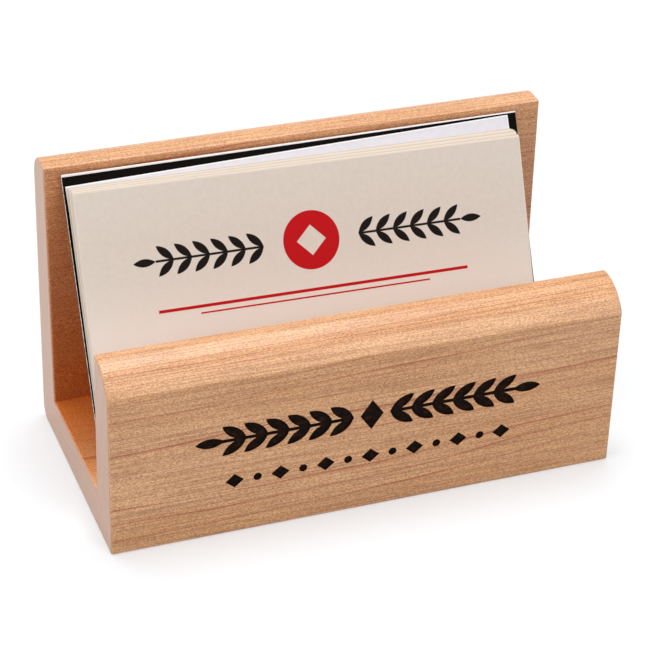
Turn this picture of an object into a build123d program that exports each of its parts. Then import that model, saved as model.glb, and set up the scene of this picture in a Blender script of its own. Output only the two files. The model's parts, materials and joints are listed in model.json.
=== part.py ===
from build123d import *
import math
import os

# Business card holder: three glued maple boards forming an open trough, with loose cards leaning in it.
# Millimetres. X runs along the holder, the front faces -Y, and the holder stands on Z = 0.

# Holder boards; the back panel's top rises a little from its front edge to its rear
length = 99.9
base_thickness = 8.4
slot_floor_width = 31.2
rail_height = 38.0
rail_foot_thickness = 9.3
rail_inner_draft = 0.8
rail_round_drop = 4.9
rail_top_flat = 0.6
back_height = 58.45
back_top_rise = 0.6
back_foot_thickness = 9.5
back_inner_draft = 0.8
back_outer_draft = 0.9

# Edge roundings of the boards
rail_arris_radius = 0.5
rail_inner_edge_radius = 0.45
back_front_edge_radius = 0.4
back_rear_edge_radius = 4.4
rear_foot_radius = 2.8
front_foot_radius = 0.5
end_edge_radius = 0.4

# Burnt-in ornament on the front rail: a leafy sprig each way from a lozenge, above a row of small lozenges
engraving_depth = 0.4
upper_row_rise = 3.9
lower_row_drop = 5.1
centre_lozenge_width = 4.6
centre_lozenge_height = 6.4
sprig_gap = 1.3
sprig_reach = 34.0
stem_thickness = 0.75
leaf_length = 5.6
leaf_width = 2.1
leaf_splay = 34.0
leaf_pairs = 6
lower_row_reach = 26.5
lower_lozenge_width = 3.6
lower_lozenge_height = 3.0
bead_radius = 0.8
lower_lozenges = 7

# Loose cards
card_width = 88.9
card_height = 50.8
white_card_extra_height = 0.6
rear_card_extra_width = 2.3
rear_card_extra_height = 2.0
card_thickness = 0.38
card_gap = 0.055
card_foot_gap = 4.02
card_foot_clearance = 0.05
card_panel_clearance = 0.1
card_sway = 0.6
rear_card_offset = -1.2
white_card_offset = -1.45
cream_card_offset = -2.1

# In-plane turn of each card in degrees, and sideways place as shares of the sway, from rear to front
rear_card_roll = 0.1
white_card_roll = 1.18
cream_card_rolls = (-0.3, -0.36, -0.42, -0.48, -0.56, -0.52, -0.64, -0.76, -0.72)
cream_sway_shares = (0.05, 0.5, 0.8, 0.75, 0.6, 0.3, 0.5, 0.2, 0.05)

# Surplus that carries every cut clear of its face
overrun = 1.0

# Places across the depth, from the front face to the rear
depth = rail_foot_thickness + slot_floor_width + back_foot_thickness
front_y = -depth / 2
rail_inner_foot_y = front_y + rail_foot_thickness
rail_inner_top_y = rail_inner_foot_y - rail_inner_draft
back_inner_foot_y = rail_inner_foot_y + slot_floor_width
back_inner_top_y = back_inner_foot_y + back_inner_draft
back_outer_foot_y = depth / 2
back_outer_top_y = back_outer_foot_y - back_outer_draft

# The white card is a little taller than the cream ones, and the rear card is larger than both
white_card_height = card_height + white_card_extra_height
rear_card_width = card_width + rear_card_extra_width
rear_card_height = white_card_height + rear_card_extra_height

# The card stack leans from its foot in the slot to the eased top edge of the back panel, which it just clears
# as a card is lifted out
card_pitch = card_thickness + card_gap
card_count = len(cream_card_rolls) + 2
stack_thickness = card_count * card_pitch - card_gap
stack_foot_y = rail_inner_foot_y + card_foot_gap
lean_centre_y = back_inner_top_y + back_front_edge_radius
lean_centre_z = back_height - back_front_edge_radius
lean_run = lean_centre_y - stack_foot_y
lean_rise = lean_centre_z - base_thickness
lean_offset = back_front_edge_radius + card_panel_clearance + stack_thickness
lean = math.atan2(lean_run, lean_rise) - math.asin(lean_offset / math.hypot(lean_run, lean_rise))

# Frame of the stack's front face: X along the card, Y up the card, Z towards the viewer
stack_plane = Plane(
    origin=(0, stack_foot_y, base_thickness),
    x_dir=(1, 0, 0),
    z_dir=(0, -math.cos(lean), math.sin(lean)),
)

# Frame of the front rail's flat face: X along the rail, Y up it, origin at the middle of the flat
rail_arris_height = rail_height - rail_round_drop
rail_plane = Plane(origin=(0, front_y, rail_arris_height / 2), x_dir=(1, 0, 0), z_dir=(0, -1, 0))


def rounded(face, corner, radius):
    """Rounds the corner of an outline that lies nearest to the given point."""
    vertex = face.vertices().sort_by_distance(Vector(*corner))[0]
    return fillet(vertex, radius)


def trough_outline():
    """Cross-section of the three boards together: front rail, base and back panel."""
    front_foot = (front_y, 0)
    arris = (front_y, rail_arris_height)
    crest = (rail_inner_top_y - rail_top_flat, rail_height)
    rail_edge = (rail_inner_top_y, rail_height)
    slot_front = (rail_inner_foot_y, base_thickness)
    slot_rear = (back_inner_foot_y, base_thickness)
    back_front_edge = (back_inner_top_y, back_height)
    back_rear_edge = (back_outer_top_y, back_height + back_top_rise)
    rear_foot = (back_outer_foot_y, 0)
    face_line = Polyline(
        crest, rail_edge, slot_front, slot_rear, back_front_edge, back_rear_edge, rear_foot, front_foot, arris
    )
    round_line = TangentArc(crest, arris, tangent=(-1, 0))
    face = make_face([face_line, round_line])
    face = rounded(face, arris, rail_arris_radius)
    face = rounded(face, rail_edge, rail_inner_edge_radius)
    face = rounded(face, back_front_edge, back_front_edge_radius)
    face = rounded(face, back_rear_edge, back_rear_edge_radius)
    face = rounded(face, rear_foot, rear_foot_radius)
    return rounded(face, front_foot, front_foot_radius)


def glued_trough():
    """The whole trough with its end edges eased, as it leaves sanding."""
    body = extrude(Plane.YZ * trough_outline(), amount=length / 2, both=True)
    end_edges = body.faces().filter_by(Axis.X).edges()
    return fillet(end_edges, end_edge_radius)


def slice_between(body, low_y, high_y):
    """The board of the trough that lies between two upright glue lines."""
    span = high_y - low_y
    block = Box(
        length + overrun,
        span,
        back_height + back_top_rise + overrun,
        align=(Align.CENTER, Align.MIN, Align.MIN),
    )
    return body & Pos(0, low_y, -overrun / 2) * block


def lozenge(width, height):
    """A diamond standing on its point."""
    points = ((width / 2, 0), (0, height / 2), (-width / 2, 0), (0, -height / 2))
    return make_face(Polyline(*points, close=True))


def leaf(span, width):
    """A pointed leaf that starts at the origin and lies along X."""
    upper = ThreePointArc((0, 0), (span / 2, width / 2), (span, 0))
    lower = ThreePointArc((span, 0), (span / 2, -width / 2), (0, 0))
    return make_face([upper, lower])


def stem(start, end):
    """A straight stroke along X."""
    middle = (start + end) / 2
    return Pos(middle, 0) * Rectangle(end - start, stem_thickness)


def sprig():
    """Leaves in pairs along a stem with one leaf at its tip, running along X from beside the lozenge."""
    start = centre_lozenge_width / 2 + sprig_gap
    tip = sprig_reach - leaf_length
    spacing = (tip - start) / leaf_pairs
    strokes = [stem(start, tip + leaf_length / 2)]
    strokes.append(Pos(tip, 0) * leaf(leaf_length, leaf_width))
    for pair in range(leaf_pairs):
        joint = Pos(start + pair * spacing, 0)
        strokes += [joint * Rot(Z=turn) * leaf(leaf_length, leaf_width) for turn in (leaf_splay, -leaf_splay)]
    return strokes


def lozenge_row():
    """Lozenges in a level row with a bead in each gap."""
    spacing = 2 * lower_row_reach / (lower_lozenges - 1)
    places = [step * spacing - lower_row_reach for step in range(lower_lozenges)]
    strokes = [Pos(place, 0) * lozenge(lower_lozenge_width, lower_lozenge_height) for place in places]
    strokes += [Pos(place + spacing / 2, 0) * Circle(bead_radius) for place in places[:-1]]
    return strokes


def engraving():
    """Cutters for the burnt ornament, from in front of the rail to the engraving's floor."""
    upper = sprig()
    upper += [mirror(stroke, about=Plane.YZ) for stroke in sprig()]
    upper.append(lozenge(centre_lozenge_width, centre_lozenge_height))
    strokes = [Pos(0, upper_row_rise) * stroke for stroke in upper]
    strokes += [Pos(0, -lower_row_drop) * stroke for stroke in lozenge_row()]
    mouth = rail_plane.offset(overrun)
    return [extrude(mouth * stroke, amount=-(engraving_depth + overrun)) for stroke in strokes]


def card(place, width, height, offset, roll):
    """One card, counted from the front of the stack, turned in its plane, standing on its lowest corner."""
    front_z = -place * card_pitch
    rear_z = front_z - card_thickness
    foot = (card_foot_clearance - rear_z * math.sin(lean)) / math.cos(lean)
    turn = math.radians(roll)
    middle = foot + width / 2 * math.sin(abs(turn)) + height / 2 * math.cos(turn)
    sheet = Box(width, height, card_thickness, align=(Align.CENTER, Align.CENTER, Align.MAX))
    return stack_plane * Pos(offset, middle, front_z) * Rot(Z=roll) * sheet


def boards():
    """The three boards of the holder by name."""
    trough = glued_trough()
    rail = slice_between(trough, front_y - overrun, rail_inner_foot_y)
    return {
        "front_rail": rail - engraving(),
        "base_board": slice_between(trough, rail_inner_foot_y, back_inner_foot_y),
        "back_panel": slice_between(trough, back_inner_foot_y, back_outer_foot_y + overrun),
    }


def cards():
    """The loose cards by name, the rear one first."""
    cream_count = len(cream_card_rolls)
    rear_size = (rear_card_width, rear_card_height)
    stack = {
        "black_rear_card": card(cream_count + 1, *rear_size, rear_card_offset, rear_card_roll),
        "white_card": card(cream_count, card_width, white_card_height, white_card_offset, white_card_roll),
    }
    cream_places = range(cream_count - 1, -1, -1)
    for place, roll, share in zip(cream_places, cream_card_rolls, cream_sway_shares):
        name = f"cream_card_{place}" if place else "printed_front_card"
        stack[name] = card(place, card_width, card_height, cream_card_offset + share * card_sway, roll)
    return stack


os.makedirs("parts", exist_ok=True)
for name, solid in {**boards(), **cards()}.items():
    export_step(solid, f"parts/{name}.step")
print(f"lean of the cards {math.degrees(lean):.4f} degrees")
print(f"lift direction 0, {math.sin(lean):.6f}, {math.cos(lean):.6f}")
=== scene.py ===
# %% [markdown]
# # A maple holder for business cards
# The real thing is three maple boards glued into an open trough, sanded and lacquered, with an ornament
# burnt into the front rail and a leaning stack of cards. The boards and cards arrive at their true size
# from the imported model, so this lesson is about finish: what maple, burnt wood, card stock and printing
# ink show to the eye, and how nodes can give each of them in millimetres. A stage, soft light and a
# camera come last.

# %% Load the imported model
import json
import math

import bmesh
import bpy
from mathutils import Matrix, Vector


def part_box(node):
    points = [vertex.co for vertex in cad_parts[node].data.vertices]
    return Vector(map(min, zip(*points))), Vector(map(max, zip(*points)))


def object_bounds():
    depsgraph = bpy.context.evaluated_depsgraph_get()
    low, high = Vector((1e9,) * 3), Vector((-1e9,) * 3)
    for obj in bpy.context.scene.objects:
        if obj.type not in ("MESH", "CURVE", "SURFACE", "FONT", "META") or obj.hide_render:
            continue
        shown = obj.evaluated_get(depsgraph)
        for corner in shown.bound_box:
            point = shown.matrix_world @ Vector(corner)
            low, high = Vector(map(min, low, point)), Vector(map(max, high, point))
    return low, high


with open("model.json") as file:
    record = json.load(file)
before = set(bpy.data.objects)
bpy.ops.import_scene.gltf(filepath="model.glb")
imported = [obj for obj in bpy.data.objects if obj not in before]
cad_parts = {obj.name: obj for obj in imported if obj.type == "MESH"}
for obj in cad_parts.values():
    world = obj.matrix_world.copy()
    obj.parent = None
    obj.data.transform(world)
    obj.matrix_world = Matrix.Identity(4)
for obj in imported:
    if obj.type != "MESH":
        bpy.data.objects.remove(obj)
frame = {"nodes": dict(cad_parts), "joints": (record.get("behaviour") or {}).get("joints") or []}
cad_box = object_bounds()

MM = 0.001
nodes = frame["nodes"]
boards = ("front_rail", "base_board", "back_panel")
cards = [name for name in nodes if name not in boards]
overall = [round(extent / MM, 1) for extent in cad_box[1] - cad_box[0]]
print("boards", len(boards), "cards", len(cards), "size in mm", overall)

# %% [markdown]
# ## Two helpers
# Colours are read off the real thing as sRGB hex values, while shaders work in linear light, so one
# function converts them. A second function adds a shader node: it takes the node's kind, what goes into
# its sockets, either a plain value or another node's output, and its settings. Written this way, a
# material reads like a recipe.

# %% Colour and node helpers
def linear(hex_colour):
    """The linear RGBA of an sRGB colour written as #RRGGBB."""
    shares = [int(hex_colour[i:i + 2], 16) / 255 for i in (1, 3, 5)]
    return (*[s / 12.92 if s <= 0.04045 else ((s + 0.055) / 1.055) ** 2.4 for s in shares], 1.0)


def add(tree, kind, inputs=(), **settings):
    """A new node with its settings, its sockets filled with values or linked to other nodes' outputs."""
    node = tree.nodes.new(kind)
    for setting, value in settings.items():
        setattr(node, setting, value)
    for socket, value in dict(inputs).items():
        if isinstance(value, bpy.types.NodeSocket):
            tree.links.new(value, node.inputs[socket])
        else:
            node.inputs[socket].default_value = value
    return node


def new_tree(name):
    """An empty material of that name, and its node tree."""
    material = bpy.data.materials.new(name)
    material.use_nodes = True
    material.node_tree.nodes.clear()
    return material, material.node_tree


# The Mix node has a set of sockets for each kind of data: these are its colour sockets and result.
MIX_A, MIX_B, MIX_RESULT = 6, 7, 2
print("helpers ready, mid grey is", [round(c, 3) for c in linear("#808080")])

# %% [markdown]
# ## Two steps that every finish uses
# A finish is built up as a painter would: a ground colour, then glazes over it, each laid where some
# measure of the surface passes from a low to a high value. Most of those measures are noises stretched to
# a size in millimetres. Naming these two steps keeps the recipes below short. A glaze is written as three
# numbers: the measure at which the ground is still bare, the one from which it is covered, and how much
# then covers it.

# %% Stretched noise and glazes
def stretched(tree, place, size, detail):
    """Noise whose lumps have that size in millimetres along X, Y and Z."""
    scaled = add(tree, "ShaderNodeMapping", {"Vector": place, "Scale": [1 / (s * MM) for s in size]})
    lumps = {"Vector": scaled.outputs["Vector"], "Scale": 1.0, "Detail": detail}
    return add(tree, "ShaderNodeTexNoise", lumps).outputs["Fac"]


def glazed(tree, colour, glaze, measure, low, high, cover):
    """A colour under another one: bare where the measure is low, and that much covered where it is high."""
    laid = {"Value": measure, "From Min": low, "From Max": high, "To Max": cover}
    share = add(tree, "ShaderNodeMapRange", laid, interpolation_type="SMOOTHSTEP").outputs["Result"]
    mix = add(tree, "ShaderNodeMix", {0: share, MIX_A: colour, MIX_B: glaze}, data_type="RGBA")
    return mix.outputs[MIX_RESULT]


print("finishes are ground colours under glazes")

# %% [markdown]
# ## Maple
# Hard maple is pale and close grained. A sanded board shows growth rings, which end in a thin reddish
# line and wander where the saw ran along them; long fibres and streaks lying along it; short reddish
# dashes; a slow drift of tone; and over it all a shimmer of fine flecks, where pores and rays are cut. An
# image would have to be fitted to every face. Here the grain is a solid instead: everything is worked out
# from the place inside the board, so long faces, rounded edges and end grain agree with each other, as
# they do in wood that was really cut. Rings are layers stacked along one direction and shaken by a slow
# noise, and each year's line is drawn more or less strongly. The rest are noises stretched along X, the
# way the boards were sawn.

# %% Growth rings
# Millimetres between rings and how far they wander; the sharpness is the power that thins a ring to a line
ring_spacing = 1.0
ring_wander = 3.4
ring_sharpness = 6.0
wander_size = (120.0, 26.0, 26.0)


def growth_rings(tree, log, ring_direction):
    """How strongly late wood shows at a place in the log, from 0 to 1, and the years grown up to there."""
    wander = stretched(tree, log, wander_size, detail=2.0)
    layer = [d / (ring_spacing * MM) for d in ring_direction]
    level = add(tree, "ShaderNodeVectorMath", {0: log, 1: layer}, operation="DOT_PRODUCT").outputs["Value"]
    shaken = {0: wander, 1: ring_wander / ring_spacing, 2: level}
    years = add(tree, "ShaderNodeMath", shaken, operation="MULTIPLY_ADD").outputs[0]
    through = add(tree, "ShaderNodeMath", {0: years}, operation="FRACT").outputs[0]
    late = add(tree, "ShaderNodeMath", {0: through, 1: ring_sharpness}, operation="POWER").outputs[0]
    year = add(tree, "ShaderNodeMath", {0: years}, operation="FLOOR").outputs[0]
    vigour = add(tree, "ShaderNodeTexWhiteNoise", {"W": year}, noise_dimensions="1D").outputs["Value"]
    return add(tree, "ShaderNodeMath", {0: late, 1: vigour}, operation="MULTIPLY").outputs[0], years


line_share = 1 - 0.5 ** (1 / ring_sharpness)
print("a year is", ring_spacing, "mm, and its dark line about", round(line_share * ring_spacing, 2), "mm")

# %% [markdown]
# ### Painted shade in the slot
# Inside the slot the wood is painted darker and a deeper orange. This is painted shade: it stands for the
# shadow that the boards and the leaning cards cast there, and for the reddish light bounced between the
# boards. It is the stronger, the deeper a place is, the nearer to the panel and the nearer to the left end,
# which the cards shade. The slot is a box between the boards, so a place on its walls is known by its
# numbers. Over the depth of the slot the change is slow: it would only fade out well above the panel.

# %% How much painted shade the slot gets
# Millimetres that the leaning walls stand outside the floor's box; heights at which the painted shade is
# full and would end; and the shares of it that are left beside the rail and at the right end
slot_clear = 0.9
slot_full, slot_none = 14.0, 86.0
rail_share, right_share = 0.15, 0.5
base_low, base_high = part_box("base_board")
slot_low, slot_high = base_low / MM, base_high / MM


def painted_slot_shade(tree, place):
    """How much painted shade a place gets: 0 outside the slot, and up to 1 in it, most at the foot of the
    panel's wall, at the left end.
    """
    in_mm = {"Vector": place, "Scale": (MM, MM, MM)}
    axes = add(tree, "ShaderNodeMapping", in_mm, vector_type="TEXTURE").outputs["Vector"]
    axes = add(tree, "ShaderNodeSeparateXYZ", {0: axes}).outputs
    middle = (slot_low.y + slot_high.y) / 2
    half = (slot_high.y - slot_low.y) / 2 + slot_clear
    across = add(tree, "ShaderNodeMath", {0: axes["Y"], 1: middle, 2: half}, operation="COMPARE").outputs[0]
    above = {0: axes["Z"], 1: slot_high.z - slot_clear}
    above = add(tree, "ShaderNodeMath", above, operation="GREATER_THAN").outputs[0]
    depth = add(tree, "ShaderNodeMath", {0: across, 1: above}, operation="MULTIPLY").outputs[0]
    for axis, start, end, at_start, at_end in (
        ("Z", slot_none, slot_full, 0.0, 1.0),
        ("Y", slot_low.y, slot_high.y, rail_share, 1.0),
        ("X", slot_low.x, slot_high.x, 1.0, right_share),
    ):
        change = {"From Min": start, "From Max": end, "To Min": at_start, "To Max": at_end}
        change = add(tree, "ShaderNodeMapRange", {"Value": axes[axis], **change}).outputs["Result"]
        depth = add(tree, "ShaderNodeMath", {0: depth, 1: change}, operation="MULTIPLY").outputs[0]
    return depth


print("slot floor at", round(slot_high.z, 2), "mm")

# %% [markdown]
# ### Long grain
# The faces along the board get their glazes in the order in which the wood grew: tone, streaks, fibres,
# ring lines and dashes; then the painted shade of the slot, which darkens and reddens its walls. The
# flecks come last. They brighten and darken whatever is there, the most in blue, so that a dark fleck
# looks brown rather than grey. Fibres and flecks are really under 0.1 mm across, and are drawn two to
# three times coarser, to show.

# %% Sizes in millimetres, colours and glazes of the long grain
tone_size = (70.0, 8.0, 8.0)
streak_size = (60.0, 1.0, 1.0)
fibre_size = (14.0, 0.22, 0.22)
fade_size = (30.0, 4.0, 4.0)
dash_size = (9.0, 0.35, 0.35)

maple_pale = linear("#E3AD7D")
maple_tan = linear("#D59963")
maple_fibre = linear("#9F6238")
maple_ring = linear("#A94A1E")
maple_dash = linear("#9C4A26")

tone_glaze = (0.3, 0.7, 0.6)
streak_glaze = (0.44, 0.75, 0.26)
fibre_glaze = (0.42, 0.66, 0.5)
ring_glaze = (0.08, 0.45, 0.85)
dash_glaze = (0.72, 0.8, 0.6)
# Painted shade: how the slot's darker, redder colour is laid over the grain
slot_shade_glaze = (0.0, 1.0, 0.9)
print("fibres", fibre_size[0], "mm long, dashes", dash_size[0], "mm, streaks", streak_size[0], "mm")


# %% Long grain
def long_grain(tree, log, late_wood, fibre, depth, slot_shade_colour):
    """The colour of a face along the board, darkened towards the given colour by painted shade deep in the
    slot.
    """
    tone = stretched(tree, log, tone_size, detail=2.0)
    streak = stretched(tree, log, streak_size, detail=2.0)
    fade = stretched(tree, log, fade_size, detail=2.0)
    lines = add(tree, "ShaderNodeMath", {0: late_wood, 1: fade}, operation="MULTIPLY").outputs[0]
    dash = stretched(tree, log, dash_size, detail=1.0)
    colour = glazed(tree, maple_pale, maple_tan, tone, *tone_glaze)
    colour = glazed(tree, colour, maple_fibre, streak, *streak_glaze)
    colour = glazed(tree, colour, maple_fibre, fibre, *fibre_glaze)
    colour = glazed(tree, colour, maple_ring, lines, *ring_glaze)
    colour = glazed(tree, colour, maple_dash, dash, *dash_glaze)
    return glazed(tree, colour, slot_shade_colour, depth, *slot_shade_glaze)


glazes = (tone_glaze, streak_glaze, fibre_glaze, ring_glaze, dash_glaze, slot_shade_glaze)
print("long grain has", len(glazes), "glazes, the strongest covering", max(glaze[2] for glaze in glazes))

# %% Flecks
# The noise between low and high is spread from -1 to 1; the depth is how far that moves red, green and blue
fleck_size = (0.4, 0.16, 0.16)
fleck_low, fleck_high = 0.3, 0.7
fleck_depth = (0.32, 0.44, 0.55)


def flecked(tree, log, colour):
    """That colour brightened and darkened by fine flecks."""
    fleck = stretched(tree, log, fleck_size, detail=1.0)
    fleck = {"Value": fleck, "From Min": fleck_low, "From Max": fleck_high, "To Min": -1.0}
    fleck = add(tree, "ShaderNodeMapRange", fleck).outputs["Result"]
    shimmer = {0: fleck, 1: fleck_depth, 2: (1.0, 1.0, 1.0)}
    shimmer = add(tree, "ShaderNodeVectorMath", shimmer, operation="MULTIPLY_ADD").outputs["Vector"]
    return add(tree, "ShaderNodeVectorMath", {0: colour, 1: shimmer}, operation="MULTIPLY").outputs["Vector"]


print("flecks", fleck_size[0], "by", fleck_size[1], "mm")

# %% [markdown]
# ### End grain
# Across the ends the fibres are cut through. The wood there is duller and greyer, its rings show as soft
# bands, and the cut fibres as a faint grit, again drawn coarser than they are. A face shows its end grain
# the more, the more it turns towards the end of the board.

# %% End grain
grit_size = (0.5, 0.32, 0.32)
bands_per_year = 1.6

end_pale = linear("#C49474")
end_ring = linear("#AC7858")
end_grey = linear("#BC9274")

band_glaze = (0.35, 0.75, 0.95)
end_tone_glaze = (0.4, 0.7, 0.6)
grit_glaze = (0.4, 0.7, 0.2)


def end_grain(tree, log, years):
    """The colour of a sawn end: bands that follow the years, a drift of tone and a faint grit."""
    bands = {"W": years, "Scale": bands_per_year, "Detail": 2.0}
    bands = add(tree, "ShaderNodeTexNoise", bands, noise_dimensions="1D").outputs["Fac"]
    tone = stretched(tree, log, tone_size, detail=2.0)
    grit = stretched(tree, log, grit_size, detail=1.0)
    colour = glazed(tree, end_pale, end_ring, bands, *band_glaze)
    colour = glazed(tree, colour, end_grey, tone, *end_tone_glaze)
    return glazed(tree, colour, end_ring, grit, *grit_glaze)


print("end grain has about", bands_per_year / ring_spacing, "bands to a millimetre")

# %% Grain on every face of a board
# The measure is how far a face has turned towards the end of the board: 0 along it, 1 across it
end_facing = (0.6, 0.9, 1.0)


def maple_grain(tree, place, ring_direction, cut_from, slot_shade_colour):
    """The colour of sanded maple, and its fibres, for a board cut from one place in the log."""
    offset = [c * MM for c in cut_from]
    log = add(tree, "ShaderNodeVectorMath", {0: place, 1: offset}, operation="ADD").outputs["Vector"]
    late_wood, years = growth_rings(tree, log, ring_direction)
    fibre = stretched(tree, log, fibre_size, detail=3.0)
    along = long_grain(tree, log, late_wood, fibre, painted_slot_shade(tree, place), slot_shade_colour)
    normal = add(tree, "ShaderNodeTexCoord").outputs["Normal"]
    facing = add(tree, "ShaderNodeSeparateXYZ", {0: normal}).outputs["X"]
    sideways = add(tree, "ShaderNodeMath", {0: facing}, operation="ABSOLUTE").outputs[0]
    colour = glazed(tree, flecked(tree, log, along), end_grain(tree, log, years), sideways, *end_facing)
    return colour, fibre


turned = math.degrees(math.asin(end_facing[0]))
print("end grain starts where a face has turned", round(turned), "degrees towards the board's end")

# %% [markdown]
# ## Satin lacquer
# The boards were sprayed with satin lacquer and rubbed down: a soft gloss with a little of the fibres'
# relief left in it. A clear coat over the wood's own shader would give two highlights, so one dielectric
# is enough: an index a little over that of plain lacquer, a middling roughness that the fibres vary, and
# a faint bump.

# %% Lacquered maple
lacquer_index = 1.55
lacquer_smooth, lacquer_rough = 0.25, 0.36
fibre_relief = 0.02
relief_strength = 0.12


def lacquered(tree, colour, fibre):
    """The shader of wood of that colour under satin lacquer."""
    rough = {"Value": fibre, "To Min": lacquer_smooth, "To Max": lacquer_rough}
    rough = add(tree, "ShaderNodeMapRange", rough).outputs["Result"]
    relief = {"Height": fibre, "Strength": relief_strength, "Distance": fibre_relief * MM}
    relief = add(tree, "ShaderNodeBump", relief).outputs["Normal"]
    finish = {"Base Color": colour, "Roughness": rough, "Normal": relief, "IOR": lacquer_index}
    return add(tree, "ShaderNodeBsdfPrincipled", finish).outputs["BSDF"]


def maple(name, ring_direction, cut_from, slot_shade_colour):
    """Lacquered maple for a plain board."""
    material, tree = new_tree(name)
    place = add(tree, "ShaderNodeTexCoord").outputs["Object"]
    colour, fibre = maple_grain(tree, place, ring_direction, cut_from, slot_shade_colour)
    add(tree, "ShaderNodeOutputMaterial", {"Surface": lacquered(tree, colour, fibre)})
    return material


head_on = ((lacquer_index - 1) / (lacquer_index + 1)) ** 2
print("lacquer mirrors", round(100 * head_on, 1), "% of light that meets it head on")

# %% [markdown]
# ## The three boards
# In the end grain of the rail and the panel the rings stand upright, so those boards were sawn flat, with
# rings nearly along their faces: that is what spreads a ring into wide, wandering lines on the face. The
# base lies the other way, with its rings level. So the ring direction is nearly Y for the uprights and
# nearly Z for the base, and it slopes a hair along the board. Each board is cut from its own place in the
# log, so no two show the same figure.

# %% Maple on the panel and the base
upright_tilt, upright_slope = math.radians(16), -0.012
level_tilt, level_slope = math.radians(10), 0.015
upright_rings = Vector((upright_slope, math.cos(upright_tilt), math.sin(upright_tilt)))
level_rings = Vector((level_slope, math.sin(level_tilt), math.cos(level_tilt)))
panel_cut = (310.0, 40.0, -20.0)
base_cut = (-150.0, 12.0, 66.0)
# Painted shade: the darker, redder colours of the slot's walls and floor, standing for shadow and bounced
# light
painted_shade_wall = linear("#BA5C20")
painted_shade_floor = linear("#D97024")


def dress(node, material):
    """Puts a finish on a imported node's own material slots."""
    mesh = nodes[node].data
    for slot in range(len(mesh.materials)):
        mesh.materials[slot] = material
    print(node, "is", material.name)


dress("back_panel", maple("maple_panel", upright_rings, panel_cut, painted_shade_wall))
dress("base_board", maple("maple_base", level_rings, base_cut, painted_shade_floor))

# %% [markdown]
# ## The burnt ornament on the rail
# The ornament is cut 0.4 mm deep by heat, so its floor and walls are charred brown-black and quite matt.
# The recess is already in the solid. Painting it needs no drawing: whatever lies a little behind the
# rail's flat face, within the patch of face that the ornament covers, is inside the recess and is
# charred. Char has no lacquer's gloss, so it gets a shader of its own, and the mask mixes the two shaders
# rather than two colours.

# %% Where the rail is burnt
# Millimetres behind the face; then the patch's reach from the middle of the rail, and its heights
char_from, char_full, char_to = 0.03, 0.12, 0.6
char_reach = 36.0
char_low, char_high = 6.0, 27.0


def burnt_share(tree, place, face_y):
    """1 behind the rail's flat face within the ornament's patch, and 0 elsewhere."""
    behind_face = {"Vector": place, "Location": (0, face_y, 0), "Scale": (MM, MM, MM)}
    in_mm = add(tree, "ShaderNodeMapping", behind_face, vector_type="TEXTURE").outputs["Vector"]
    axes = add(tree, "ShaderNodeSeparateXYZ", {0: in_mm}).outputs
    deep = {"Value": axes["Y"], "From Min": char_from, "From Max": char_full}
    share = add(tree, "ShaderNodeMapRange", deep, interpolation_type="SMOOTHSTEP").outputs["Result"]
    for value, middle, half in (
        (axes["Y"], 0, char_to),
        (axes["X"], 0, char_reach),
        (axes["Z"], (char_low + char_high) / 2, (char_high - char_low) / 2),
    ):
        inside = add(tree, "ShaderNodeMath", {0: value, 1: middle, 2: half}, operation="COMPARE").outputs[0]
        share = add(tree, "ShaderNodeMath", {0: share, 1: inside}, operation="MULTIPLY").outputs[0]
    return share


print("ornament's patch", 2 * char_reach, "mm long and", char_high - char_low, "mm high")

# %% Burnt maple on the rail
rail_cut = (20.0, -20.0, -5.0)
char_dark = linear("#120A06")
char_brown = linear("#3B2013")
char_patch = (1.3, 1.3, 0.8)
char_glaze = (0.45, 0.75, 0.7)
char_rough, char_gloss = 0.9, 0.1

rail_low, rail_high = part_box("front_rail")
burnt_maple, tree = new_tree("maple_rail_burnt")
place = add(tree, "ShaderNodeTexCoord").outputs["Object"]
colour, fibre = maple_grain(tree, place, upright_rings, rail_cut, painted_shade_wall)
char = glazed(tree, char_dark, char_brown, stretched(tree, place, char_patch, detail=2.0), *char_glaze)
matt = {"Base Color": char, "Roughness": char_rough, "Specular IOR Level": char_gloss}
charred = add(tree, "ShaderNodeBsdfPrincipled", matt).outputs["BSDF"]
both = {0: burnt_share(tree, place, rail_low.y), 1: lacquered(tree, colour, fibre), 2: charred}
both = add(tree, "ShaderNodeMixShader", both).outputs["Shader"]
add(tree, "ShaderNodeOutputMaterial", {"Surface": both})
dress("front_rail", burnt_maple)
rail_height = (rail_high.z - rail_low.z) / MM
print("rail", round(rail_height, 1), "mm high, char starts", char_from, "mm behind its face")

# %% [markdown]
# ## Card stock
# Business cards are thick uncoated paper: matt, faintly mottled where fibres lie closer together, and
# paler along the guillotined edge, where the cut leaves a burnished line. A pattern on a card has to
# follow the card, which leans back and is turned a little in its own plane. A card's corners give that
# turn, and a Mapping node of the texture kind undoes lean, turn and place, so the material works in
# millimetres from the card's lower left corner.

# %% Where each card lies
face_slack = 0.1
lift_axis = Vector(frame["joints"][0]["axis"]).normalized()
toward_reader = Vector((1, 0, 0)).cross(lift_axis)


def card_frame(node):
    """A card's lower left front corner, its turn in space, and its width and height in millimetres."""
    corners = [v.co.copy() for v in nodes[node].data.vertices]
    nearest = max(c.dot(toward_reader) for c in corners)
    front = [c for c in corners if c.dot(toward_reader) > nearest - face_slack * MM]
    low_left = min(front, key=lambda c: c.x + c.dot(lift_axis))
    low_right = max(front, key=lambda c: c.x - c.dot(lift_axis))
    top_left = max(front, key=lambda c: c.dot(lift_axis) - c.x)
    along = (low_right - low_left).normalized()
    up = (top_left - low_left).normalized()
    turn = Matrix((along, up, along.cross(up))).transposed()
    size = ((low_right - low_left).length / MM, (top_left - low_left).length / MM)
    return low_left, turn.to_euler(), size


for name in cards:
    turn, size = card_frame(name)[1:]
    print(name, [round(s, 1) for s in size], "mm, turned", round(math.degrees(turn.z), 2), "degrees")


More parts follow.
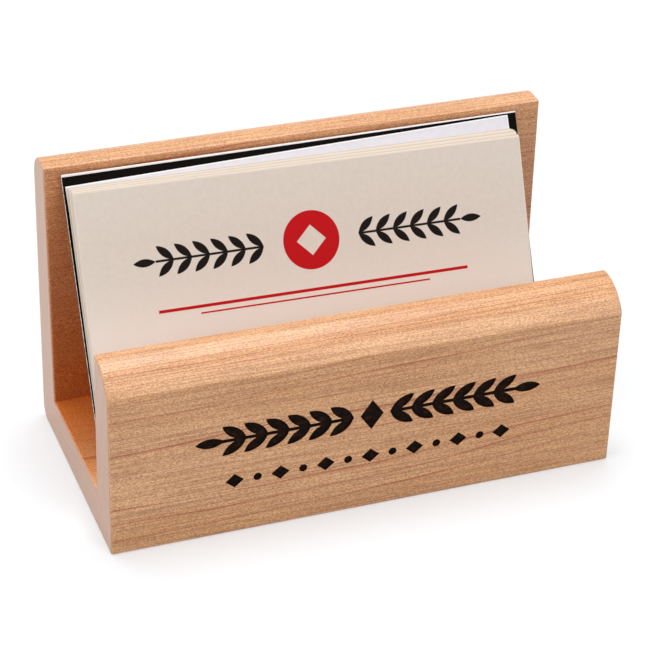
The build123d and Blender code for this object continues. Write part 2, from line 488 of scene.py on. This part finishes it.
# %% Places on a card
def card_places(tree, node):
    """Millimetres along, up and in from the rims of a card, and how squarely a face looks at the reader."""
    corner, turn, size = card_frame(node)
    here = add(tree, "ShaderNodeTexCoord").outputs
    lying = {"Vector": here["Object"], "Location": corner, "Rotation": turn, "Scale": (MM, MM, MM)}
    on_card = add(tree, "ShaderNodeMapping", lying, vector_type="TEXTURE").outputs["Vector"]
    axes = add(tree, "ShaderNodeSeparateXYZ", {0: on_card}).outputs
    square = {0: here["Normal"], 1: toward_reader}
    facing = add(tree, "ShaderNodeVectorMath", square, operation="DOT_PRODUCT").outputs["Value"]
    insets = []
    for axis, span in (("X", size[0]), ("Y", size[1])):
        middle = add(tree, "ShaderNodeMath", {0: axes[axis], 1: span / 2}, operation="SUBTRACT").outputs[0]
        out = add(tree, "ShaderNodeMath", {0: middle}, operation="ABSOLUTE").outputs[0]
        insets.append(add(tree, "ShaderNodeMath", {0: span / 2, 1: out}, operation="SUBTRACT").outputs[0])
    places = {"object": here["Object"], "along": axes["X"], "up": axes["Y"]}
    return {**places, "facing": facing, "insets": insets}


lean = math.degrees(math.atan2(lift_axis.y, lift_axis.z))
print("cards lean back", round(lean, 1), "degrees")

# %% [markdown]
# ### Paper
# Paper's own fibres are some hundredths of a millimetre wide. Its mottle and its tooth are drawn coarser,
# so that they take the flatness off a face without showing as a pattern.

# %% Paper
mottle_size = (0.9, 0.9, 0.9)
mottle_glaze = (0.3, 0.7, 1.0)
burnished_line = 0.26
burnished_cover = 0.9
edge_facing = (0.7, 0.3, 1.0)  # 1 is a face that looks at the reader or away, 0 a cut edge
tooth_size = (0.35, 0.35, 0.35)
tooth_relief = 0.01
tooth_strength = 0.2
paper_index = 1.45


def stock_colour(tree, card, face, shade, edge):
    """Mottled paper with a paler burnished line just inside its cut edge, and pale cut edges."""
    mottle = stretched(tree, card["object"], mottle_size, detail=3.0)
    colour = glazed(tree, face, shade, mottle, *mottle_glaze)
    for inset in card["insets"]:
        colour = glazed(tree, colour, edge, inset, burnished_line, burnished_line / 2, burnished_cover)
    square = add(tree, "ShaderNodeMath", {0: card["facing"]}, operation="ABSOLUTE").outputs[0]
    return glazed(tree, colour, edge, square, *edge_facing)


def paper(tree, card, colour, roughness, gloss):
    """Finishes a card's tree as paper of that colour, with its tooth as a faint relief."""
    tooth = stretched(tree, card["object"], tooth_size, detail=2.0)
    relief = {"Height": tooth, "Strength": tooth_strength, "Distance": tooth_relief * MM}
    finish = {
        "Base Color": colour,
        "Roughness": roughness,
        "Specular IOR Level": gloss,
        "Normal": add(tree, "ShaderNodeBump", relief).outputs["Normal"],
        "IOR": paper_index,
    }
    surface = add(tree, "ShaderNodeBsdfPrincipled", finish).outputs["BSDF"]
    add(tree, "ShaderNodeOutputMaterial", {"Surface": surface})


print("a burnished line", burnished_line, "mm wide runs round each card")

# %% [markdown]
# ## Cream cards
# A ream is never of one tint: neighbouring cards differ by a shade, which is what draws the fine lines
# along the top of a stack. Three tints taken in turn give that. Uncoated stock is matt: a high roughness,
# and little gloss.

# %% Cream stock
cream_tints = (("#E2D6CA", "#DFD2C6"), ("#D6C9BD", "#D2C4B7"), ("#E4D8CC", "#E0D3C6"))
cream_edges = ("#F2E7DA", "#DCCFC1", "#EADED0")
uncoated = {"roughness": 0.85, "gloss": 0.15}

cream_cards = [name for name in cards if name.startswith("cream_card")]
for step, name in enumerate(cream_cards):
    material, tree = new_tree("cream_stock_" + name)
    card = card_places(tree, name)
    face, shade = (linear(tint) for tint in cream_tints[step % len(cream_tints)])
    edge = linear(cream_edges[step % len(cream_edges)])
    paper(tree, card, stock_colour(tree, card, face, shade, edge), **uncoated)
    dress(name, material)

# %% [markdown]
# ## The printed front card
# The front card carries a plain printed ornament in black and red ink: a red disc with a lozenge left
# open in it, a leafy sprig each way, and two red rules below. Ink soaks into uncoated stock, so it has no
# gloss or thickness of its own and belongs in the paper's colour. Each shape is a small formula on the
# card's millimetres: how far inside its outline a place is, softened over the width that ink bleeds. The
# two halves mirror each other, so one formula in the distance from the middle serves both.

# %% Middle of the print
print_height = 36.5

printed, tree = new_tree("cream_stock_printed")
card = card_places(tree, "printed_front_card")
card_width = card_frame("printed_front_card")[2][0]
aside = add(tree, "ShaderNodeMath", {0: card["along"], 1: card_width / 2}, operation="SUBTRACT").outputs[0]
aside = add(tree, "ShaderNodeMath", {0: aside}, operation="ABSOLUTE").outputs[0]
above = add(tree, "ShaderNodeMath", {0: card["up"], 1: print_height}, operation="SUBTRACT").outputs[0]
height = add(tree, "ShaderNodeMath", {0: above}, operation="ABSOLUTE").outputs[0]
print("print is centred", round(card_width / 2, 2), "mm along and", print_height, "mm up the card")

# %% [markdown]
# ### Leaves
# Six pairs of leaves stand along a stem. Wrapping the distance along the stem at one leaf's spacing turns
# one leaf into a row, and the mirrored height makes pairs of them. A Mapping node turns and scales the
# place into the leaf's own frame, where the leaf is two wide and two high, and its outline is the
# parabola 1 - (a - 1) squared. A last leaf lies along the stem at its tip.

# %% A leaf
leaf_long, leaf_wide, leaf_splay = 4.3, 1.5, math.radians(42)


def leaf_depth(tree, along, across, splay):
    """How far inside a leaf a place is, in half leaf widths."""
    flat = add(tree, "ShaderNodeCombineXYZ", {"X": along, "Y": across}).outputs["Vector"]
    own = {"Vector": flat, "Rotation": (0, 0, splay), "Scale": (leaf_long / 2, leaf_wide / 2, 1)}
    axes = add(tree, "ShaderNodeMapping", own, vector_type="TEXTURE").outputs["Vector"]
    axes = add(tree, "ShaderNodeSeparateXYZ", {0: axes}).outputs
    a = add(tree, "ShaderNodeMath", {0: axes["X"], 1: 1.0}, operation="SUBTRACT").outputs[0]
    bulge = add(tree, "ShaderNodeMath", {0: a, 1: a}, operation="MULTIPLY").outputs[0]
    off = add(tree, "ShaderNodeMath", {0: axes["Y"]}, operation="ABSOLUTE").outputs[0]
    used = add(tree, "ShaderNodeMath", {0: bulge, 1: off}, operation="ADD").outputs[0]
    return add(tree, "ShaderNodeMath", {0: 1.0, 1: used}, operation="SUBTRACT").outputs[0]


print("leaves", leaf_long, "mm long and", leaf_wide, "mm wide")

# %% Sprig
sprig_start, leaf_spacing, leaf_pairs = 9.5, 3.5, 6
sprig_end = sprig_start + leaf_spacing * leaf_pairs
stem_half = 0.22
far_outside = 99.0

from_start = add(tree, "ShaderNodeMath", {0: aside, 1: sprig_start}, operation="SUBTRACT").outputs[0]
in_row = add(tree, "ShaderNodeMath", {0: from_start, 1: leaf_spacing, 2: 0.0}, operation="WRAP").outputs[0]
pairs = leaf_depth(tree, in_row, height, leaf_splay)
stem = add(tree, "ShaderNodeMath", {0: stem_half, 1: height}, operation="SUBTRACT").outputs[0]
pairs = add(tree, "ShaderNodeMath", {0: pairs, 1: stem}, operation="MAXIMUM").outputs[0]
row_middle, row_half = (sprig_start + sprig_end) / 2, (sprig_end - sprig_start) / 2
row = add(tree, "ShaderNodeMath", {0: aside, 1: row_middle, 2: row_half}, operation="COMPARE").outputs[0]
outside = add(tree, "ShaderNodeMath", {0: row, 1: 1.0}, operation="SUBTRACT").outputs[0]
in_rows = {0: outside, 1: far_outside, 2: pairs}
pairs = add(tree, "ShaderNodeMath", in_rows, operation="MULTIPLY_ADD").outputs[0]
from_end = add(tree, "ShaderNodeMath", {0: aside, 1: sprig_end}, operation="SUBTRACT").outputs[0]
tip = leaf_depth(tree, from_end, height, 0.0)
sprig = add(tree, "ShaderNodeMath", {0: pairs, 1: tip}, operation="MAXIMUM").outputs[0]
print("sprig from", sprig_start, "to", sprig_end + leaf_long, "mm either side of the middle")

# %% Disc and rules
disc_radius, lozenge_half = 5.6, 2.9
rule_drop, rule_gap = 9.4, 1.3
rule_halves = ((31.0, 0.3), (23.0, 0.16))

flat = add(tree, "ShaderNodeCombineXYZ", {"X": aside, "Y": above}).outputs["Vector"]
reach = add(tree, "ShaderNodeVectorMath", {0: flat}, operation="LENGTH").outputs["Value"]
disc = add(tree, "ShaderNodeMath", {0: disc_radius, 1: reach}, operation="SUBTRACT").outputs[0]
corner_sum = add(tree, "ShaderNodeMath", {0: aside, 1: height}, operation="ADD").outputs[0]
ring = add(tree, "ShaderNodeMath", {0: corner_sum, 1: lozenge_half}, operation="SUBTRACT").outputs[0]
red = add(tree, "ShaderNodeMath", {0: disc, 1: ring}, operation="MINIMUM").outputs[0]
for step, (half_long, half_high) in enumerate(rule_halves):
    level = -rule_drop - step * rule_gap
    up = add(tree, "ShaderNodeMath", {0: above, 1: level}, operation="SUBTRACT").outputs[0]
    up = add(tree, "ShaderNodeMath", {0: up}, operation="ABSOLUTE").outputs[0]
    thick = add(tree, "ShaderNodeMath", {0: half_high, 1: up}, operation="SUBTRACT").outputs[0]
    long = add(tree, "ShaderNodeMath", {0: half_long, 1: aside}, operation="SUBTRACT").outputs[0]
    rule = add(tree, "ShaderNodeMath", {0: thick, 1: long}, operation="MINIMUM").outputs[0]
    red = add(tree, "ShaderNodeMath", {0: red, 1: rule}, operation="MAXIMUM").outputs[0]
print("disc", 2 * disc_radius, "mm wide, rules", [2 * half for half, high in rule_halves], "mm long")

# %% [markdown]
# ### Ink on paper
# The card's lower part, behind the rail, is painted paler: painted light, which cancels the shade that
# the rail casts on it.
# The ink goes on last. Its formulas hold on the card's back and edges too, so it is kept to the face that
# looks at the reader: everywhere else, a place is put far outside every shape.

# %% Dress the front card
# Painted light: heights up the card below which the paler tint is full and above which it is gone
painted_light_full_below, painted_light_gone_above = 14.0, 42.0  # millimetres up the card
painted_light_tint = linear("#F4EDE6")
ink_bleed = 0.05
ink_black = linear("#17110E")
ink_red = linear("#C4151B")
face_on = 0.7  # as in edge_facing: above this it is the card's front

face, shade = (
    glazed(tree, painted_light_tint, linear(tint), card["up"], painted_light_full_below, painted_light_gone_above, cover=1.0)
    for tint in cream_tints[0]
)
colour = stock_colour(tree, card, face, shade, linear(cream_edges[2]))
front = add(tree, "ShaderNodeMath", {0: card["facing"], 1: face_on}, operation="GREATER_THAN").outputs[0]
behind = add(tree, "ShaderNodeMath", {0: front, 1: 1.0}, operation="SUBTRACT").outputs[0]
for ink, depth in ((ink_red, red), (ink_black, sprig)):
    on_front = {0: behind, 1: far_outside, 2: depth}
    on_front = add(tree, "ShaderNodeMath", on_front, operation="MULTIPLY_ADD").outputs[0]
    colour = glazed(tree, colour, ink, on_front, -ink_bleed, ink_bleed, cover=1.0)
paper(tree, card, colour, **uncoated)
dress("printed_front_card", printed)

# %% [markdown]
# ## The white card and the black card
# Behind the cream stack stands a smooth, cooler white card, and behind that a card printed black out to
# its sides and to within a hair of its top. The unprinted rim and the white core of the cut edge draw the
# pale line along the top. Down the sides the knife has dragged a little ink over the core, so the pale
# line there is faintly smudged: a noise along the edge gives that. Solid black ink is quite matt, so this
# card has hardly any gloss.

# %% White card
white_face, white_shade, white_edge = linear("#E6E4EC"), linear("#E2E0E8"), linear("#FFFFFF")
smooth = {"roughness": 0.6, "gloss": 0.4}

material, tree = new_tree("white_stock")
card = card_places(tree, "white_card")
paper(tree, card, stock_colour(tree, card, white_face, white_shade, white_edge), **smooth)
dress("white_card", material)

# %% Black card
back_face, back_shade = linear("#EAE6E3"), linear("#E4DFDB")
black_ink = linear("#0B0806")
# Millimetres of bare rim at the top's left and right end, and of the side that counts as cut edge
top_rim_left, top_rim_right = 0.46, 0.24
side_edge = 0.02
smear_size = (1.2, 0.7, 0.7)
smear_glaze = (0.42, 0.62, 0.6)
solid_ink = {"roughness": 0.7, "gloss": 0.06}

material, tree = new_tree("black_printed_stock")
card = card_places(tree, "black_rear_card")
stock = stock_colour(tree, card, back_face, back_shade, white_edge)
front = add(tree, "ShaderNodeMath", {0: card["facing"], 1: face_on}, operation="GREATER_THAN").outputs[0]
rim = {"Value": card["along"], "From Max": card_width, "To Min": top_rim_left, "To Max": top_rim_right}
rim = add(tree, "ShaderNodeMapRange", rim).outputs["Result"]
within = add(tree, "ShaderNodeMath", {0: card["insets"][1], 1: rim}, operation="GREATER_THAN").outputs[0]
inked = add(tree, "ShaderNodeMath", {0: front, 1: within}, operation="MULTIPLY").outputs[0]
side = add(tree, "ShaderNodeMath", {0: card["insets"][0], 1: side_edge}, operation="LESS_THAN").outputs[0]
smear = stretched(tree, card["object"], smear_size, detail=1.0)
smeared = add(tree, "ShaderNodeMath", {0: side, 1: smear}, operation="MULTIPLY").outputs[0]
colour = glazed(tree, stock, black_ink, inked, low=0.0, high=1.0, cover=1.0)
colour = glazed(tree, colour, black_ink, smeared, *smear_glaze)
paper(tree, card, colour, **solid_ink)
dress("black_rear_card", material)

# %% [markdown]
# ## Stage
# The holder stands on a plain white sweep. A white floor that fills the picture would need strong light
# to reach white, and that light would bleach the wood. So the floor is lit plainly, and only what the
# camera and glossy reflections see of it and of the world is lifted to white: the shadow stays.

# %% Floor
floor_half = 0.8
floor_mesh = bpy.data.meshes.new("floor")
shape = bmesh.new()
bmesh.ops.create_grid(shape, x_segments=1, y_segments=1, size=floor_half)
shape.to_mesh(floor_mesh)
shape.free()
floor = bpy.data.objects.new("floor", floor_mesh)
bpy.context.scene.collection.objects.link(floor)
print("floor", 2 * floor_half, "m wide")

# %% White sweep
floor_grey = linear("#C8CBCE")
floor_lift = 0.38


def seen_directly(tree):
    """1 for what the camera, a reflection or clear material looks at, and 0 for light on its way."""
    ray = add(tree, "ShaderNodeLightPath").outputs
    seen = {0: ray["Is Camera Ray"], 1: ray["Is Glossy Ray"]}
    seen = add(tree, "ShaderNodeMath", seen, operation="MAXIMUM").outputs[0]
    seen = {0: seen, 1: ray["Is Transmission Ray"]}
    return add(tree, "ShaderNodeMath", seen, operation="MAXIMUM").outputs[0]


sweep, tree = new_tree("white_sweep")
lift = add(tree, "ShaderNodeMath", {0: seen_directly(tree), 1: floor_lift}, operation="MULTIPLY").outputs[0]
matt = add(tree, "ShaderNodeBsdfDiffuse", {"Color": floor_grey}).outputs["BSDF"]
glow = add(tree, "ShaderNodeEmission", {"Strength": lift}).outputs["Emission"]
both = add(tree, "ShaderNodeAddShader", {0: matt, 1: glow}).outputs["Shader"]
add(tree, "ShaderNodeOutputMaterial", {"Surface": both})
floor_mesh.materials.append(sweep)
print("floor lifted by", floor_lift, "where it is seen")

# %% World
ambient = 0.28
world = bpy.data.worlds.new("studio")
bpy.context.scene.world = world
world.use_nodes = True
tree = world.node_tree
tree.nodes.clear()
strength = {"Value": seen_directly(tree), "To Min": ambient, "To Max": 1.0}
strength = add(tree, "ShaderNodeMapRange", strength).outputs["Result"]
sky = {"Color": linear("#FFFFFF"), "Strength": strength}
sky = add(tree, "ShaderNodeBackground", sky).outputs["Background"]
add(tree, "ShaderNodeOutputWorld", {"Surface": sky})
print("world gives", ambient, "of white as light, and is seen as white")

# %% [markdown]
# ## Light
# Three soft boxes light the holder. The one overhead, a little behind it, lights the floor and the slot,
# and the upper part of the rail's rounding mirrors it as a pale band. The tall one in front, to the
# right, is mirrored by the lower part of the rounding, which makes the arris below it a crisp edge. The
# broad one at the left fills the ends of the boards.

# %% Soft boxes
holder_middle = (cad_box[0] + cad_box[1]) / 2


def softbox(name, place, width, height, power):
    """A rectangular area lamp aimed at the holder, in metres and watts."""
    lamp = bpy.data.lights.new(name, "AREA")
    lamp.shape = "RECTANGLE"
    lamp.size = width
    lamp.size_y = height
    lamp.energy = power
    lamp_object = bpy.data.objects.new(name, lamp)
    lamp_object.location = place
    lamp_object.rotation_euler = (Vector(place) - holder_middle).to_track_quat("Z", "Y").to_euler()
    bpy.context.scene.collection.objects.link(lamp_object)
    print(name, power, "W at", place)


softbox("overhead_box", (0.0, 0.18, 0.85), width=0.7, height=0.5, power=5.4)
softbox("front_box", (0.3, -0.68, 0.78), width=0.5, height=0.9, power=3.5)
softbox("left_fill", (-1.0, -0.3, 0.5), width=1.0, height=1.0, power=6.2)

# %% [markdown]
# ## Camera
# The photograph was taken from the front left, about thirty degrees above the desk, with a long lens. A
# pinhole camera fitted to the boards' straight edges gives the place, aim and focal length below.

# %% Camera
camera_place = (-0.13242, -0.34315, 0.24449)
camera_azimuth = 21.08
camera_pitch = 30.78
camera_roll = 1.66
sensor_width, focal_length = 36.0, 123.9

lens = bpy.data.cameras.new("camera")
lens.sensor_width = sensor_width
lens.lens = focal_length
camera = bpy.data.objects.new("camera", lens)
aim = (
    Matrix.Rotation(math.radians(-camera_azimuth), 4, "Z")
    @ Matrix.Rotation(math.radians(90 - camera_pitch), 4, "X")
    @ Matrix.Rotation(math.radians(camera_roll), 4, "Z")
)
camera.matrix_world = Matrix.Translation(camera_place) @ aim
bpy.context.scene.collection.objects.link(camera)
bpy.context.scene.camera = camera
bpy.context.scene.view_settings.view_transform = "Standard"
print("camera", round(Vector(camera_place).length / MM), "mm from the holder's foot")
